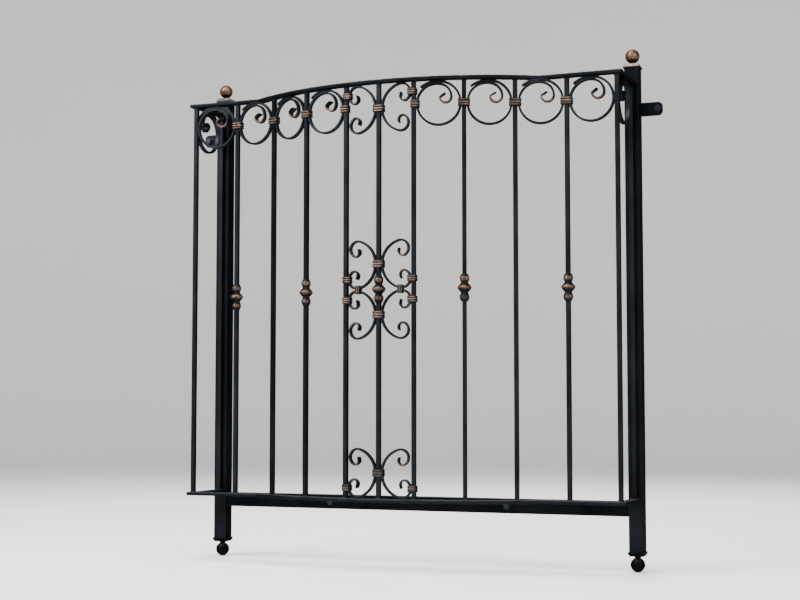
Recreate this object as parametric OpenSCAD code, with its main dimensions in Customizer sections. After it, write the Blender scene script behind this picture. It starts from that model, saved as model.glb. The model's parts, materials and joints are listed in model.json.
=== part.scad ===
// Bow-fronted wrought iron balcony guard that stands on a wall in front of a tall window or door.
// The wall is the plane y = 0, the front looks towards -y, z is up.
// The origin is the middle of the back face of the cross tube, on the wall.

/* [Layout] */
// Spacing of the front bars, centre to centre, measured straight across a gap
bar_pitch = 139.2; // [134:0.1:145]
// Spacing of the middle bar and its two neighbours
panel_pitch = 101; // [99:0.5:110]
// Spacing of the two bars on either side of the kink in the front rails
kink_pitch = 140.6; // [138:0.1:146]
// Half the width of the bowed part of the front
bow_half = 425; // [415:1:440]
// How far the bow stands out beyond the straight ends
bow_rise = 120; // [100:1:130]
// Distance from the wall to the centre line of the corner bars
guard_depth = 203; // [190:1:240]
// Height from the top of the bottom rail to the top of the top rail
guard_height = 1152; // [1000:1:1300]

/* [Frame] */
// Side of the square posts and of the cross tube
tube_side = 40; // [30:1:50]
// Wall of the posts and of the cross tube
tube_wall = 3; // [2:0.5:4]
// Width of the flat rails
rail_w = 30; // [25:1:40]
// Thickness of the flat rails
rail_t = 10; // [6:0.5:12]
// How far the top of the bottom rail lies above the middle of the cross tube
rail_above_tube = 30; // [25:1:45]
// How far the posts reach above the top rail
post_above = 40; // [30:1:80]
// How far the posts reach below the middle of the cross tube
post_below = 116; // [60:1:160]

/* [Bars and scrolls] */
// Side of the square upright bars
bar_side = 12; // [10:0.5:13.5]
// Thickness of the flat bar that the scrolls are bent from
scroll_t = 6; // [4:0.5:7]
// Width of the flat bar that the scrolls are bent from, front to back
scroll_w = 12; // [8:0.5:14]
// Width of the spread ends of the scrolls
spread_w = 22; // [15:1:26]
// Thickness of the spread ends at their tips
tip_t = 3; // [2:0.5:4]
// Gap between a ring scroll and the bars beside it
ring_side_gap = 0.6; // [0.5:0.1:1]
// Gap between a scroll and the rail or scroll that it is set against
seat_gap = 0.15; // [0.1:0.05:0.3]
// Gap between the two layers of a ring scroll where they overlap
layer_gap = 0.3; // [0.2:0.1:1]

/* [Collars and bushes] */
// Height of a collar
collar_h = 20; // [14:1:26]
// Thickness of a collar at its ribs
collar_t = 3; // [2:0.5:4]
// Depth of the grooves between the ribs of a collar
groove_t = 1.2; // [0.6:0.1:1.6]
// Extra thickness of a collar in front of the bars and behind them
collar_room = 0.8; // [0.6:0.1:1.5]
// Length of a cast bush
bush_len = 74; // [60:1:90]
// Diameter of the big bead of a bush
bush_bead_d = 38.6; // [32:0.2:46]
// Diameter of the two small beads of a bush
bush_small_d = 27; // [25:0.5:30]
// Diameter of the necks of a bush
bush_neck_d = 20; // [19.5:0.5:22]

/* [Post ends] */
// Diameter of the ball finials
ball_d = 40; // [30:1:50]
// Side of the sloped caps at both ends of a post
cap_side = 46; // [42:1:60]
// Height of a cap, without its neck
cap_h = 12; // [8:0.5:20]
// Height of the upright band around a cap
cap_band = 4; // [2:0.5:6]
// How far the sides of a cap slope in
cap_slope = 4.5; // [2:0.5:8]
// Diameter of the short neck between a cap and its ball
neck_d = 18; // [14:1:24]
// Height of that neck
neck_h = 4; // [2:0.5:8]

/* [Wall fixings] */
// Length of a wall lug, out from the side of its post
lug_len = 60; // [50:1:90]
// Height of a wall lug
lug_h = 38; // [30:1:50]
// Thickness of a wall lug
lug_t = 6; // [4:0.5:10]
// Diameter of all the holes for the wall bolts
bolt_hole_d = 11; // [8:0.5:14]
// Distance from the side of a post to the hole in its lug
lug_hole_out = 46; // [30:1:60]
// Distance from the top of the top rail down to the middle of the lugs
lug_drop = 74; // [30:1:800]
// Distance from the middle of the cross tube to each of its holes
tube_hole_out = 273; // [200:1:350]

/* [Hidden] */
eps = 0.1;
// how far a solid that crosses or cuts another runs past it
past = 10;
// plan of the front: an arc between two straight ends
bow_r = (bow_half * bow_half + bow_rise * bow_rise) / (2 * bow_rise);
bow_cy = bow_r - guard_depth - bow_rise;
bow_end_a = asin(bow_half / bow_r);
// how far the bow of a rail runs on, in degrees, into its straight ends
bow_overrun = 2;
panel_a = 2 * asin(panel_pitch / 2 / bow_r);
pitch_a = 2 * asin(bar_pitch / 2 / bow_r);
// turn of bar n about its own axis, counted out from the middle
function bar_turn(n) = n == 0 ? 0 : n <= 3 ? panel_a + (n - 1) * pitch_a : 0;
// place of bar n in plan on the right-hand side
kink_dy = bow_r * cos(bar_turn(3)) - bow_cy - guard_depth;
bar4_x = bow_r * sin(bar_turn(3)) + sqrt(kink_pitch * kink_pitch - kink_dy * kink_dy);
function bar_x(n) = n <= 3 ? bow_r * sin(bar_turn(n)) : bar4_x + (n - 4) * bar_pitch;
function bar_y(n) = n <= 3 ? bow_cy - bow_r * cos(bar_turn(n)) : -guard_depth;
corner_x = bar_x(5);
// heights
base_z = rail_above_tube;
bar_len = guard_height - rail_t;
top_z = base_z + bar_len;
mid_z = base_z + bar_len / 2;
post_top_z = top_z + rail_t + post_above;
lug_z = top_z + rail_t - lug_drop;
end_bar_y = -tube_side - bar_side / 2;
// ring scrolls
ring_d = bar_pitch - bar_side - 2 * ring_side_gap;
ring_z = top_z - seat_gap - ring_d / 2;
ring_r = (ring_d - scroll_t) / 2;
side_ring_y = -guard_depth + bar_side / 2 + ring_side_gap + ring_d / 2;
// bend of a ring's outer tail, which stands a little away from the ring
tail_r = 1.15 * ring_r;
tail_turn = 40;
// how far the second layer runs on under the first
under_turn = 108;
// the bends that follow it, in to the flat tip
ring_curl = [[36, -72], [17, -164], [5, -74], [0, 16]];
// distance from the middle of a tip at which a bar has its full spread, and none
spread_from = 9;
spread_to = 19;
// number of outline points over which a bar is drawn out thin towards its tip
thin_points = 20;
// C-scrolls: turn of the back of the C on each side of its middle, and radius of the small curl
back_turn = 74;
small_r = 25.5;
// how far the corner of a bar in the middle panel reaches out, seen square to a gap beside it
bar_reach = (cos(panel_a / 2) + sin(panel_a / 2)) * bar_side / 2;
// how far the back of the C stands from the middle bar
spine_u = bar_reach + scroll_t / 2 + seat_gap;
// middle of the small curl, which lies against the side bar
curl_u = panel_pitch - spine_u - small_r;
curl_v = small_r + scroll_t / 2 + seat_gap;
small_back_r = (curl_u - spine_u - small_r * cos(back_turn)) / (1 - cos(back_turn));
// the bends from the middle of the back up to the tip of the large curl, and down to the small one's
big_bow = [[66.5, -back_turn], [22.4, -160], [12, -143], [0, 6]];
small_bow = [[small_back_r, back_turn], [small_r, 160], [11.5, 142], [0, 9]];
// height of the middle of the back over the small curl
spine_v = (small_back_r - small_r) * sin(back_turn) + curl_v;
// collars that tie a C-scroll to a side bar, and one C-scroll to the next
curl_collar_h = 17;
stack_collar_h = 15;
// how far the tie between two small curls lies towards the middle bar from where the curls meet
stack_tie_off = 3;
// ribs of a collar: arc of their rounding, and the flat between two of them
rib_arc = 70;
rib_gap = 0.6;
// bushes: middle of the small beads, half height of the big bead, radii of the beads' rims
bush_small_z = 25;
bush_bead_half = 12.5;
bush_rim_r = 3;
bush_small_rim_r = 5.2;
// chamfer along the sharp edges of caps and bushes
edge_cut = 0.6;
// degrees of bend from one point of a scroll's outline to the next
bend_step = 7.5;

// Sub-part to show

iron_black = [0.09, 0.095, 0.11];
copper_brushed = [0.48, 0.3, 0.21];

// General shapes

// place and heading [x, z, heading] after a bend [radius, turn] or a straight [0, length]
function after(s, seg) = seg[0] == 0
  ? [s[0] + seg[1] * cos(s[2]), s[1] + seg[1] * sin(s[2]), s[2]]
  : let(r = seg[0] * sign(seg[1]), h = s[2] + seg[1])
    [s[0] - r * sin(s[2]) + r * sin(h), s[1] + r * cos(s[2]) - r * cos(h), h];

// the same after the first n pieces of a path
function walked(s, path, n) = n == 0 ? s : after(walked(s, path, n - 1), path[n - 1]);

// all the places along a path, one every few degrees of bend
function stations(start, path) = concat([start], [
  for (i = [0:len(path) - 1])
    let(s = walked(start, path, i), seg = path[i], n = seg[0] == 0 ? 1 : ceil(abs(seg[1]) / bend_step))
      for (k = [1:n]) after(s, [seg[0], seg[1] * k / n])
]);

// place at a distance to the left of a station
function beside_of(s, d) = [s[0] - d * sin(s[2]), s[1] + d * cos(s[2])];

// half the thickness of a bar at a point that lies n points before its drawn-out tip
function drawn_half(n) = (scroll_t - max(0, 1 - n / thin_points) * (scroll_t - tip_t)) / 2;

// flat bar bent along a path in the x-z plane, centred on y = 0, that ends in a spread tip,
// and starts with one too if it has two tips
module bent_bar(start, path, two_tips) {
  st = stations(start, path);
  last = len(st) - 1;
  before_tip = walked(start, path, len(path) - 1);
  rotate([90, 0, 0])
    intersection() {
      linear_extrude(spread_w + 2 * eps, center = true)
        polygon(concat(
          [for (i = [0:last]) beside_of(st[i], drawn_half(two_tips ? min(i, last - i) : last - i))],
          [for (i = [last:-1:0]) beside_of(st[i], -drawn_half(two_tips ? min(i, last - i) : last - i))]
        ));
      union() {
        cube([3 * bar_pitch, 3 * bar_pitch, scroll_w], center = true);
        spread_room(after(before_tip, path[len(path) - 1] / 2));
        if (two_tips) spread_room(after(start, path[0] / 2));
      }
    }
}

// room for a spread tip: a disc as high as the tip is wide, that slopes down to the bar's own width
module spread_room(middle) {
  translate([middle[0], middle[1], 0])
    rotate_extrude($fn = 72)
      polygon([
        [0, -spread_w / 2],
        [spread_from, -spread_w / 2],
        [spread_to, -scroll_w / 2],
        [spread_to, scroll_w / 2],
        [spread_from, spread_w / 2],
        [0, spread_w / 2]
      ]);
}

// a square-edged block whose four sides all carry the same profile, given as [height, outset] points
module moulded_block(half_x, half_y, profile) {
  intersection() {
    rotate([90, 0, 0])
      linear_extrude(2 * (half_y + past), center = true)
        both_sides(half_x, profile);
    rotate([90, 0, 90])
      linear_extrude(2 * (half_x + past), center = true)
        both_sides(half_y, profile);
  }
}

// the profile on the left and on the right of a block, as one outline
module both_sides(half, profile) {
  n = len(profile);
  polygon(concat(
    [for (p = profile) [half + p[1], p[0]]],
    [for (i = [n - 1:-1:0]) [-half - profile[i][1], profile[i][0]]]
  ));
}

// one copy as built and one mirrored to the left
module both() {
  children();
  mirror([1, 0, 0]) children();
}

// moves to front bar n on the right-hand side, turned as the bar is
module at_bar(n) {
  translate([bar_x(n), bar_y(n), 0]) rotate([0, 0, bar_turn(n)]) children();
}

// moves to the gap between bars n and n + 1 on the right, with x along the straight line between them
module at_gap(n) {
  translate([bar_x(n), bar_y(n), 0])
    rotate([0, 0, atan2(bar_y(n + 1) - bar_y(n), bar_x(n + 1) - bar_x(n))])
      children();
}

// the same for the gap on the left, with x still running to the right
module at_gap_left(n) {
  translate([-bar_x(n + 1), bar_y(n + 1), 0])
    rotate([0, 0, atan2(bar_y(n) - bar_y(n + 1), bar_x(n + 1) - bar_x(n))])
      children();
}

function gap_len(n) = norm([bar_x(n + 1) - bar_x(n), bar_y(n + 1) - bar_y(n)]);

// Frame

module square_tube(len) {
  difference() {
    translate([-tube_side / 2, -tube_side / 2, 0]) cube([tube_side, tube_side, len]);
    translate([tube_wall - tube_side / 2, tube_wall - tube_side / 2, -eps])
      cube([tube_side - 2 * tube_wall, tube_side - 2 * tube_wall, len + 2 * eps]);
  }
}

module post_right() {
  color(iron_black)
    translate([corner_x, -tube_side / 2, -post_below])
      square_tube(post_top_z + post_below);
}

module post_left() {
  mirror([1, 0, 0]) post_right();
}

module cross_tube() {
  half = corner_x - tube_side / 2;
  color(iron_black)
    difference() {
      translate([-half, -tube_side / 2, 0]) rotate([0, 90, 0]) square_tube(2 * half);
      for (x = [-tube_hole_out, tube_hole_out])
        translate([x, eps, 0]) rotate([90, 0, 0]) cylinder(d = bolt_hole_d, h = tube_side + 2 * eps, $fn = 48);
    }
}

// flat bar in plan: bowed in the middle, kinked, straight at the ends
module front_rail() {
  h = rail_w / 2;
  color(iron_black)
    intersection() {
      union() {
        translate([0, bow_cy, 0])
          rotate([0, 0, -90 - bow_end_a - bow_overrun])
            rotate_extrude(angle = 2 * (bow_end_a + bow_overrun), $fn = 360)
              translate([bow_r - h, -past])
                square([rail_w, rail_t + 2 * past]);
        both()
          translate([bow_half, -guard_depth - h, -2 * past])
            cube([corner_x + h - bow_half, rail_w + past, rail_t + 4 * past]);
      }
      translate([-corner_x - rail_w, -2 * guard_depth, 0])
        cube([2 * (corner_x + rail_w), guard_depth + h, rail_t]);
    }
}

module rail_return() {
  color(iron_black)
    translate([corner_x - rail_w / 2, rail_w / 2 - guard_depth, 0])
      cube([rail_w, guard_depth - rail_w / 2 - tube_side, rail_t]);
}

module top_rail() {
  translate([0, 0, top_z]) front_rail();
}

module top_return_right() {
  translate([0, 0, top_z]) rail_return();
}

module top_return_left() {
  mirror([1, 0, 0]) top_return_right();
}

module bottom_rail() {
  translate([0, 0, base_z - rail_t]) front_rail();
}

module bottom_return_right() {
  translate([0, 0, base_z - rail_t]) rail_return();
}

module bottom_return_left() {
  mirror([1, 0, 0]) bottom_return_right();
}

// Upright bars

module upright() {
  color(iron_black)
    translate([-bar_side / 2, -bar_side / 2, base_z]) cube([bar_side, bar_side, bar_len]);
}

// n counts out from the middle bar, and is negative on the left
module front_bar(n) {
  if (n < 0) mirror([1, 0, 0]) at_bar(-n) upright();
  else at_bar(n) upright();
}

module end_bar_right() {
  translate([corner_x, end_bar_y, 0]) upright();
}

module end_bar_left() {
  mirror([1, 0, 0]) end_bar_right();
}

// Scrolls

// One bar bent into a ring that overlaps itself along the top, then curls in to an eye with a flat tip.
// It is drawn about the middle of the ring and winds clockwise, seen from the front.
module ring_scroll() {
  shift = scroll_t + layer_gap;
  three_quarters = 270;
  start = [-shift - tail_r * sin(tail_turn), ring_r - tail_r * (1 - cos(tail_turn)), tail_turn];
  layers = [[tail_r, -tail_turn], [0, shift], [ring_r, -three_quarters], [ring_r - shift, -under_turn]];
  color(iron_black)
    bent_bar(start, concat(layers, ring_curl), false);
}

module ring_scrolls_right() {
  for (n = [1:4])
    at_gap(n) translate([gap_len(n) / 2, 0, ring_z]) ring_scroll();
}

// the rings on the left wind the same way, so they are not mirrored
module ring_scrolls_left() {
  for (n = [1:4])
    at_gap_left(n) translate([gap_len(n) / 2, 0, ring_z]) ring_scroll();
}

module side_ring_right() {
  translate([corner_x, side_ring_y, ring_z]) rotate([0, 0, -90]) ring_scroll();
}

module side_ring_left() {
  mirror([1, 0, 0]) side_ring_right();
}

// a path walked the other way round, and the place where it then starts
function reversed(path) = [for (i = [len(path) - 1:-1:0]) [path[i][0], path[i][0] == 0 ? path[i][1] : -path[i][1]]];
function far_end(s, path) = let(e = walked(s, path, len(path))) [e[0], e[1], e[2] + 180];

// C-scroll on the right of the middle bar: its small curl is down and rests on z = 0
module c_scroll() {
  color(iron_black)
    bent_bar(far_end([spine_u, spine_v, -90], small_bow), concat(reversed(small_bow), big_bow), true);
}

module c_pair() {
  both() at_gap(0) c_scroll();
}

module c_scrolls_top() {
  translate([0, 0, top_z]) mirror([0, 0, 1]) c_pair();
}

module c_scrolls_middle() {
  translate([0, 0, mid_z]) {
    c_pair();
    mirror([0, 0, 1]) c_pair();
  }
}

module c_scrolls_bottom() {
  translate([0, 0, base_z]) c_pair();
}

// Collars

// three rounded ribs, as [height, outset] points, for a collar of half height h
function collar_profile(h) = let(pitch = (2 * h + rib_gap) / 3, half = (pitch - rib_gap) / 2) [
  for (k = [-1:1], a = [-rib_arc, -rib_arc / 2, 0, rib_arc / 2, rib_arc])
    [k * pitch + half * sin(a) / sin(rib_arc), collar_t - groove_t * (1 - cos(a)) / (1 - cos(rib_arc))]
];

// direction of the straight line across gap n
function gap_turn(n) = atan2(bar_y(n + 1) - bar_y(n), bar_x(n + 1) - bar_x(n));

// from a bar's centre line to the far side of a bend of radius r beside it, at the ends of a collar
function reach(middle, r, h) = middle - sqrt(pow(r - scroll_t / 2, 2) - h * h / 4);
function ring_reach(n) = reach(gap_len(n) / 2, ring_r, collar_h);

// Band of height h about bar n, turned by turn, from left of the bar to right of it.
// The children, the room for what lies beside the bar, are cut out of it.
module bar_collar(n, z, h, turn, left, right) {
  color(copper_brushed)
    difference() {
      translate([bar_x(n), bar_y(n), z])
        rotate([0, 0, turn])
          translate([(right - left) / 2, 0, 0])
            moulded_block((left + right) / 2, bar_side / 2 + collar_room, collar_profile(h / 2));
      at_bar(n)
        translate([-bar_side / 2, -bar_side / 2, z - h])
          cube([bar_side, bar_side, 2 * h]);
      translate([0, 0, z - h]) children();
    }
}

// room for a scroll in gap n, from the bar on its left out to a distance
module room_right(n, out) {
  at_gap(n) translate([0, -scroll_w / 2, 0]) cube([out, scroll_w, 2 * collar_h]);
}

// the same from the bar on the right of gap n
module room_left(n, out) {
  at_gap(n) translate([gap_len(n) - out, -scroll_w / 2, 0]) cube([out, scroll_w, 2 * collar_h]);
}

module ring_collars_right() {
  bar_collar(1, ring_z, collar_h, gap_turn(1), bar_side / 2, ring_reach(1))
    room_right(1, ring_reach(1));
  for (n = [2:4])
    bar_collar(n, ring_z, collar_h, (gap_turn(n - 1) + gap_turn(n)) / 2, ring_reach(n - 1), ring_reach(n)) {
      room_left(n - 1, ring_reach(n - 1));
      room_right(n, ring_reach(n));
    }
}

module ring_collars_left() {
  mirror([1, 0, 0]) ring_collars_right();
}

// collar that ties the backs of two C-scrolls to the middle bar
module back_collar(z) {
  r = big_bow[0][0];
  out = reach(spine_u + r, r, collar_h);
  bar_collar(0, z, collar_h, 0, out, out)
    both() room_right(0, out);
}

// collars that tie the small curls of two C-scrolls to the bars on both sides
module curl_collars(z) {
  out = reach(panel_pitch - curl_u, small_r, curl_collar_h);
  both()
    bar_collar(1, z, curl_collar_h, gap_turn(0), out, bar_side / 2)
      room_left(0, out);
}

// collars that tie an upper C-scroll to the lower one under it, on both sides
module stack_collars() {
  far = stack_tie_off + stack_collar_h / 2;
  half = curl_v - sqrt(pow(small_r - scroll_t / 2, 2) - far * far);
  color(copper_brushed)
    both()
      at_gap(0)
        translate([curl_u - stack_tie_off, 0, mid_z])
          rotate([0, 90, 0])
            difference() {
              moulded_block(half, scroll_w / 2, collar_profile(stack_collar_h / 2));
              cube([2 * half, scroll_w, 2 * stack_collar_h], center = true);
            }
}

module panel_collars_top() {
  back_collar(top_z - spine_v);
  curl_collars(top_z - curl_v);
}

module panel_collars_middle() {
  for (k = [-1, 1]) {
    back_collar(mid_z + k * spine_v);
    curl_collars(mid_z + k * curl_v);
  }
  stack_collars();
}

module panel_collars_bottom() {
  back_collar(base_z + spine_v);
  curl_collars(base_z + curl_v);
}

// Bushes

// rounded rim of a bead of radius r at height z, as [radius, height] points
function rim(r, rim_r, z) = [for (a = [-60:20:60]) [r - rim_r * (1 - cos(a)), z + rim_r * sin(a)]];

// upper half of a bush's outline: half the sharp-rimmed big bead, a neck, a small round bead, the end
bush_half = concat(
  [for (p = rim(bush_bead_d / 2, bush_rim_r, 0)) if (p[1] > -eps) p],
  [[0.175 * bush_bead_d + 0.325 * bush_neck_d, 0.74 * bush_bead_half], [bush_neck_d / 2, bush_bead_half]],
  rim(bush_small_d / 2, bush_small_rim_r, bush_small_z),
  [[bush_neck_d / 2, bush_len / 2 - edge_cut], [bush_neck_d / 2 - edge_cut, bush_len / 2]]
);

// cast knuckle threaded on a bar: a big bead between two small ones
module bush() {
  n = len(bush_half);
  color(copper_brushed)
    difference() {
      rotate_extrude($fn = 72)
        polygon(concat(
          [[0, -bush_len / 2]],
          [for (i = [n - 1:-1:1]) [bush_half[i][0], -bush_half[i][1]]],
          bush_half,
          [[0, bush_len / 2]]
        ));
      cube([bar_side, bar_side, 2 * bush_len], center = true);
    }
}

module bar_bushes() {
  at_bar(0) translate([0, 0, mid_z]) bush();
  both()
    for (n = [2, 4])
      at_bar(n) translate([0, 0, mid_z]) bush();
}

// Post ends

// square cap that stands on z = 0, with sloped sides above a band and a short neck for the ball
module cap() {
  moulded_block(cap_side / 2, cap_side / 2, [
    [0, -edge_cut],
    [edge_cut, 0],
    [cap_band, 0],
    [cap_h - edge_cut, -cap_slope],
    [cap_h, -cap_slope - edge_cut]
  ]);
  translate([0, 0, cap_h]) cylinder(d = neck_d, h = neck_h, $fn = 64);
}

// ball with a small flat where it sits on z = 0
module ball() {
  sink = 0.8;
  difference() {
    translate([0, 0, ball_d / 2 - sink]) sphere(d = ball_d, $fn = 64);
    translate([-ball_d, -ball_d, -ball_d]) cube([2 * ball_d, 2 * ball_d, ball_d]);
  }
}

module cap_plate_right() {
  color(copper_brushed)
    translate([corner_x, -tube_side / 2, post_top_z])
      cap();
}

module cap_plate_left() {
  mirror([1, 0, 0]) cap_plate_right();
}

module top_ball_right() {
  color(copper_brushed)
    translate([corner_x, -tube_side / 2, post_top_z + cap_h + neck_h]) ball();
}

module top_ball_left() {
  mirror([1, 0, 0]) top_ball_right();
}

// the foot of a post is a cap and a ball too, upside down
module foot_flange_right() {
  color(iron_black)
    translate([corner_x, -tube_side / 2, -post_below]) mirror([0, 0, 1]) cap();
}

module foot_flange_left() {
  mirror([1, 0, 0]) foot_flange_right();
}

module foot_ball_right() {
  color(iron_black)
    translate([corner_x, -tube_side / 2, -post_below - cap_h - neck_h]) mirror([0, 0, 1]) ball();
}

module foot_ball_left() {
  mirror([1, 0, 0]) foot_ball_right();
}

// Wall lugs

module wall_lug_right() {
  corner_r = lug_h / 3;
  color(iron_black)
    translate([corner_x + tube_side / 2, 0, lug_z])
      rotate([90, 0, 0])
        difference() {
          union() {
            translate([0, -lug_h / 2, 0]) cube([lug_len - corner_r, lug_h, lug_t]);
            translate([lug_len - corner_r - 1, corner_r - lug_h / 2, 0])
              cube([corner_r + 1, lug_h - 2 * corner_r, lug_t]);
            for (k = [-1, 1])
              translate([lug_len - corner_r, k * (lug_h / 2 - corner_r), 0])
                cylinder(r = corner_r, h = lug_t, $fn = 64);
          }
          translate([lug_hole_out, 0, -eps]) cylinder(d = bolt_hole_d, h = lug_t + 2 * eps, $fn = 48);
        }
}

module wall_lug_left() {
  mirror([1, 0, 0]) wall_lug_right();
}

post_left();
post_right();
cross_tube();
top_rail();
top_return_left();
top_return_right();
bottom_rail();
bottom_return_left();
bottom_return_right();
front_bar(-5);  // corner_bar_left
front_bar(5);  // corner_bar_right
end_bar_left();
end_bar_right();
front_bar(-4);  // front_bar_1
front_bar(-3);  // front_bar_2
front_bar(-2);  // front_bar_3
front_bar(-1);  // front_bar_4
front_bar(0);  // front_bar_5
front_bar(1);  // front_bar_6
front_bar(2);  // front_bar_7
front_bar(3);  // front_bar_8
front_bar(4);  // front_bar_9
ring_scrolls_left();
ring_scrolls_right();
side_ring_left();
side_ring_right();
c_scrolls_top();
c_scrolls_middle();
c_scrolls_bottom();
ring_collars_left();
ring_collars_right();
panel_collars_top();
panel_collars_middle();
panel_collars_bottom();
bar_bushes();
cap_plate_left();
cap_plate_right();
top_ball_left();
top_ball_right();
foot_flange_left();
foot_flange_right();
foot_ball_left();
foot_ball_right();
wall_lug_left();
wall_lug_right();
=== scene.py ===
"""Bow-fronted wrought iron juliet balcony: forged and dressed guard on a plain studio stage.

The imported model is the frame. The front looks towards -y, the wall is the plane y = 0, and z is up.
All sizes are in metres.
"""

import json
import random
from math import acos, asin, atan2, ceil, copysign, cos, degrees, hypot, pi, radians, sin, sqrt, tan

import bmesh
import bpy
from bpy.props import FloatProperty, FloatVectorProperty, PointerProperty
from mathutils import Matrix, Vector, noise


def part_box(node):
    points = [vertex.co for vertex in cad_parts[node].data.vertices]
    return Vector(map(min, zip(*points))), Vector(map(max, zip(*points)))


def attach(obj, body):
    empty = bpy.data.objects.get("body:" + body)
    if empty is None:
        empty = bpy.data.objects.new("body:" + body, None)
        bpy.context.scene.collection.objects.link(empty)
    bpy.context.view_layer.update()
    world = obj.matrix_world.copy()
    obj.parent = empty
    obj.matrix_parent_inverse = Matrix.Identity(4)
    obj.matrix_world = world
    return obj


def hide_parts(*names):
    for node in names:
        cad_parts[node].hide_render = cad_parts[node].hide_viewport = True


bl_info = {
    "name": "Wrought Iron Juliet Balcony",
    "version": (1, 0, 0),
    "blender": (4, 5, 0),
    "location": "View3D > Sidebar > Guard",
    "description": "Forges and dresses the bars, scrolls, collars and post ends of a bowed balcony guard",
    "category": "Add Mesh",
}

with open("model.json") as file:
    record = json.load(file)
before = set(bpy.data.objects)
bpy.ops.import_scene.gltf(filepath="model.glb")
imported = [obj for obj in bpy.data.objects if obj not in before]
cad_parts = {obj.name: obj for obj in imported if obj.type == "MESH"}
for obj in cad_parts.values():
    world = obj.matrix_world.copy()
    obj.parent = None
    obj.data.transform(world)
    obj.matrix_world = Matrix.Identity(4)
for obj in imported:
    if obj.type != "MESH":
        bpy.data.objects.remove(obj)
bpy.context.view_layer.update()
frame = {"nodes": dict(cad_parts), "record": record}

# Sizes that follow from the frame


def middle(node):
    low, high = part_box(node)
    return (low + high) / 2


def span(node):
    low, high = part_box(node)
    return high - low


bar_nodes = {n: f"front_bar_{n + 5}" for n in range(-4, 5)}
bar_nodes[-5] = "corner_bar_left"
bar_nodes[5] = "corner_bar_right"
bar_place = {n: middle(node).xy for n, node in bar_nodes.items()}
bar_side = span("corner_bar_right").x
rail_width = span("top_return_right").x
rail_thickness = span("top_rail").z
top_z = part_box("top_rail")[0].z
base_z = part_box("bottom_rail")[1].z
mid_z = (top_z + base_z) / 2
ring_diameter = span("ring_scrolls_right").z
ring_z = middle("ring_scrolls_right").z
ring_gaps_left = (-5, -4, -3, -2)
ring_gaps_right = (1, 2, 3, 4)
bush_length = span("bar_bushes").z
mounts = {mount["name"]: mount for mount in frame["record"]["mounts"]}

# the front of the guard in plan: an arc through the middle bars, between two straight ends
last_arc_bar = 3
bow_depth = bar_place[last_arc_bar].y - bar_place[0].y
bow_radius = (bar_place[last_arc_bar].x ** 2 + bow_depth ** 2) / (2 * bow_depth)
bow_centre_y = bar_place[0].y + bow_radius
bow_end = acos((bow_centre_y - bar_place[5].y) / bow_radius)

# flat bar of the scrolls with its spread tips, and how far one layer of it stays clear of the next
scroll_thickness = 0.006
scroll_width = 0.012
spread_width = 0.022
tip_thickness = 0.003
layer_gap = 0.0003
seat_gap = 0.00015

# A tip is fully spread within the first distance of its middle, and not at all beyond the second.
# Behind it the bar is drawn thin over a length, and beyond the reach it isn't changed.
full_spread = 0.006
no_spread = 0.020
drawn_length = 0.026
tip_reach = 0.057

# collars
collar_height = span("ring_collars_right").z
curl_collar_height = 0.017
stack_collar_height = 0.015
stack_tie_off = 0.003
collar_thickness = 0.003
collar_room = 0.0008
collar_play = 0.0001
rib_arc = 70
rib_gap = 0.0006
groove_depth = 0.0012

# bushes, and half the height of their large and small beads
bead_radius = 0.0193
bead_half = 0.0122
small_bead_radius = 0.0135
small_bead_half = 0.0100
small_bead_rise = 0.0253
bush_neck_radius = 0.010

# caps on the posts and, upside down, under them
cap_band = 0.004
cap_slope = 0.0045
neck_radius = 0.009
neck_height = 0.004

# bolts and welds
bolt_flats = 0.016
washer_diameter = 0.021
washer_thickness = 0.0018
bolt_head = 0.0081
weld_size = 0.0022

# Places on the front


def bar_turn(n):
    """Turn of front bar n about its own axis, in radians."""
    if abs(n) <= last_arc_bar:
        return asin(bar_place[n].x / bow_radius)
    return 0.0


def gap_turn(n):
    """Direction of the straight line from bar n to bar n + 1."""
    across = bar_place[n + 1] - bar_place[n]
    return atan2(across.y, across.x)


def gap_length(n):
    return (bar_place[n + 1] - bar_place[n]).length


class Place:
    """A spot on the guard with three directions of its own: across, deep and up."""

    def __init__(self, origin, across, deep, up):
        self.origin = Vector(origin)
        self.across = Vector(across)
        self.deep = Vector(deep)
        self.up = Vector(up)

    def point(self, u, v, w):
        return self.origin + self.across * u + self.deep * v + self.up * w

    def mirrored(self):
        """The same spot on the other side of the guard."""
        flip = Matrix.Diagonal((-1, 1, 1))
        return Place(flip @ self.origin, flip @ self.across, flip @ self.deep, flip @ self.up)

    def upside_down(self):
        return Place(self.origin, self.across, self.deep, -self.up)


def turned_place(x, y, z, turn):
    """Upright place, its across direction turned from the guard's by an angle."""
    across = (cos(turn), sin(turn), 0)
    deep = (-sin(turn), cos(turn), 0)
    return Place((x, y, z), across, deep, (0, 0, 1))


def at_bar(n, z, turn=None):
    spot = bar_place[n]
    return turned_place(spot.x, spot.y, z, bar_turn(n) if turn is None else turn)


def at_gap(n, out, z):
    """Spot in gap n, a distance out from bar n towards bar n + 1."""
    spot = bar_place[n].lerp(bar_place[n + 1], out / gap_length(n))
    return turned_place(spot.x, spot.y, z, gap_turn(n))


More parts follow.
